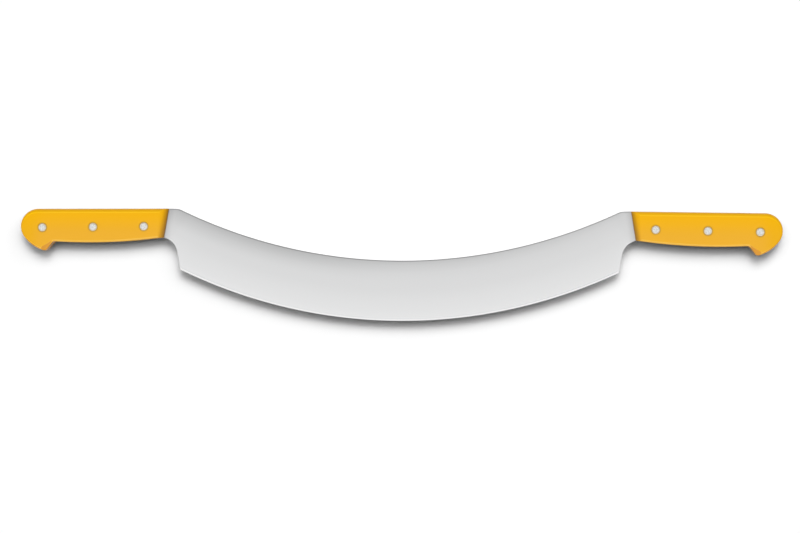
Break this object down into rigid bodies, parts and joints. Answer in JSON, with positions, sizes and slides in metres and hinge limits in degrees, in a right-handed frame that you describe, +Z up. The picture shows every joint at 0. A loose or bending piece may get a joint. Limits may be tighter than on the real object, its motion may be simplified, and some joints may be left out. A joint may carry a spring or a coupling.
{
  "type": "double-handled cheese knife",
  "caption": "Long curved cheese knife with a full tang and riveted grip scales at each end, pressed down through the cheese with both hands.",
  "frame": {"origin": "centre of the knife's box, on the plane of the back scales' outer faces that it lies on", "axes": "+X along the knife, +Y from the cutting edge towards the handles' tops, +Z up through the thickness"},
  "size_m": [0.6932, 0.1008, 0.0181],
  "materials": {
    "blade": "satin ground",
    "scale": "semi-gloss, moulded",
    "rivet": "bright, faced off flush"
  },
  "bodies": {
    "root": {"blade": "blade", "left_front_scale": "scale", "left_back_scale": "scale", "right_front_scale": "scale", "right_back_scale": "scale", "left_inner_rivet_pin": "rivet", "left_inner_rivet_sleeve": "rivet", "left_middle_rivet_pin": "rivet", "left_middle_rivet_sleeve": "rivet", "left_butt_rivet_pin": "rivet", "left_butt_rivet_sleeve": "rivet", "right_inner_rivet_pin": "rivet", "right_inner_rivet_sleeve": "rivet", "right_middle_rivet_pin": "rivet", "right_middle_rivet_sleeve": "rivet", "right_butt_rivet_pin": "rivet", "right_butt_rivet_sleeve": "rivet"}
  },
  "joints": []
}
